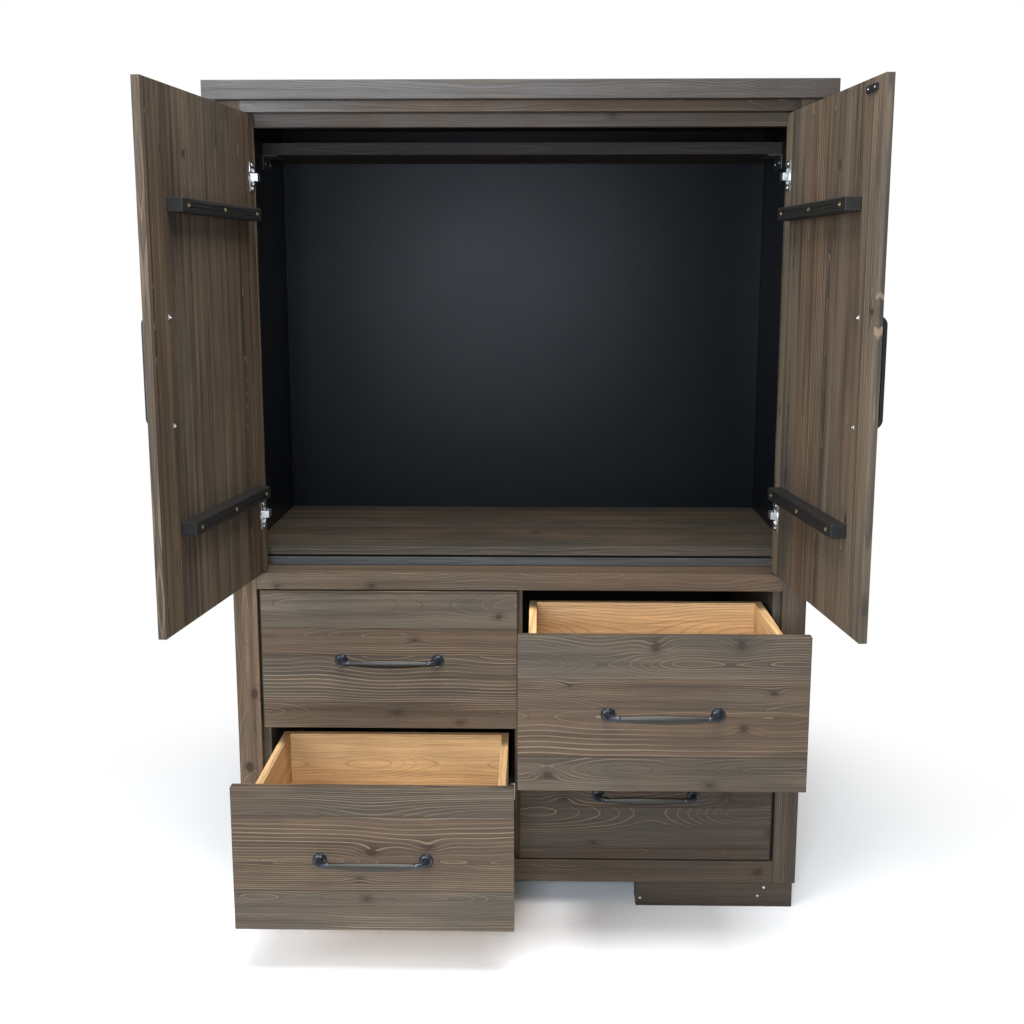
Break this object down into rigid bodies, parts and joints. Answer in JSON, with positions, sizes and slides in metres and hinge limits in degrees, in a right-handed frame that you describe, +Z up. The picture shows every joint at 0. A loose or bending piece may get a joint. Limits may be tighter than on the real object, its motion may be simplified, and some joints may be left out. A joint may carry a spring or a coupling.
{
  "type": "armoire",
  "caption": "Tall board-door armoire: media compartment behind two hinged doors, over sliding drawers, on low block feet.",
  "frame": {"origin": "middle of the back edge of the armoire at floor level", "axes": "+Z up, +X to the right seen from in front, -Y out of the front"},
  "size_m": [1.2289, 1.0942, 1.6945],
  "materials": {
    "carcass_wood": "matt grey-brown stain on solid softwood",
    "door_wood": "matt grey-brown stain on upright softwood boards",
    "drawer_front_wood": "matt grey-brown stain, figured grain",
    "batten_wood": "matt charcoal stain",
    "dark_lining": "satin near-black paint",
    "pine": "clear-sealed pine",
    "black_steel": "satin black",
    "pewter": "aged pewter bar on dark feet",
    "zinc": "bright zinc plate",
    "screw_brass": "dull brass screw heads"
  },
  "bodies": {
    "carcass": {"cap": "carcass_wood", "top_rail": "carcass_wood", "header_rail": "carcass_wood", "front_post_left": "carcass_wood", "front_post_right": "carcass_wood", "back_posts": "carcass_wood", "side_panel_left": "carcass_wood", "side_panel_right": "carcass_wood", "back_panel": "dark_lining", "mid_rail": "carcass_wood", "deck_board": "carcass_wood", "media_shelf": "carcass_wood", "high_board": "carcass_wood", "high_board_brackets": "zinc", "bottom_rail": "carcass_wood", "carcass_bottom": "carcass_wood", "centre_divider": "carcass_wood", "slide_gables": "carcass_wood", "front_foot_left": "carcass_wood", "front_foot_right": "carcass_wood", "back_foot": "carcass_wood", "slide_rails": "zinc", "hinge_arms": "zinc"},
    "left_door": {"left_door": "door_wood", "left_batten_upper": "batten_wood", "left_batten_lower": "batten_wood", "left_door_screws": "screw_brass", "left_hinge_cups": "zinc", "left_door_pull": "black_steel"},
    "right_door": {"right_door": "door_wood", "right_batten_upper": "batten_wood", "right_batten_lower": "batten_wood", "right_door_screws": "screw_brass", "right_hinge_cups": "zinc", "right_door_pull": "black_steel", "right_strike_plate": "black_steel"},
    "upper_left_drawer": {"upper_left_front": "drawer_front_wood", "upper_left_sides": "pine", "upper_left_ends": "pine", "upper_left_bottom": "pine", "upper_left_runners": "zinc", "upper_left_pull": "pewter"},
    "upper_right_drawer": {"upper_right_front": "drawer_front_wood", "upper_right_sides": "pine", "upper_right_ends": "pine", "upper_right_bottom": "pine", "upper_right_runners": "zinc", "upper_right_pull": "pewter"},
    "lower_left_drawer": {"lower_left_front": "drawer_front_wood", "lower_left_sides": "pine", "lower_left_ends": "pine", "lower_left_bottom": "pine", "lower_left_runners": "zinc", "lower_left_pull": "pewter"},
    "lower_right_drawer": {"lower_right_front": "drawer_front_wood", "lower_right_sides": "pine", "lower_right_ends": "pine", "lower_right_bottom": "pine", "lower_right_runners": "zinc", "lower_right_pull": "pewter"}
  },
  "joints": [
    {"name": "left_door_hinge", "type": "hinge", "parent": "carcass", "child": "left_door", "pos_m": [-0.525, -0.5725, 1.1809], "axis": [0, 0, -1], "range_deg": [-96.7, 8.3]},
    {"name": "right_door_hinge", "type": "hinge", "parent": "carcass", "child": "right_door", "pos_m": [0.525, -0.5725, 1.1809], "axis": [0, 0, 1], "range_deg": [-95.5, 9.5]},
    {"name": "upper_left_slide", "type": "slide", "parent": "carcass", "child": "upper_left_drawer", "axis": [0, -1, 0], "range_m": [0, 0.335]},
    {"name": "upper_right_slide", "type": "slide", "parent": "carcass", "child": "upper_right_drawer", "axis": [0, -1, 0], "range_m": [-0.33, 0.005]},
    {"name": "lower_left_slide", "type": "slide", "parent": "carcass", "child": "lower_left_drawer", "axis": [0, -1, 0], "range_m": [-0.319, 0.016]},
    {"name": "lower_right_slide", "type": "slide", "parent": "carcass", "child": "lower_right_drawer", "axis": [0, -1, 0], "range_m": [0, 0.335]}
  ]
}
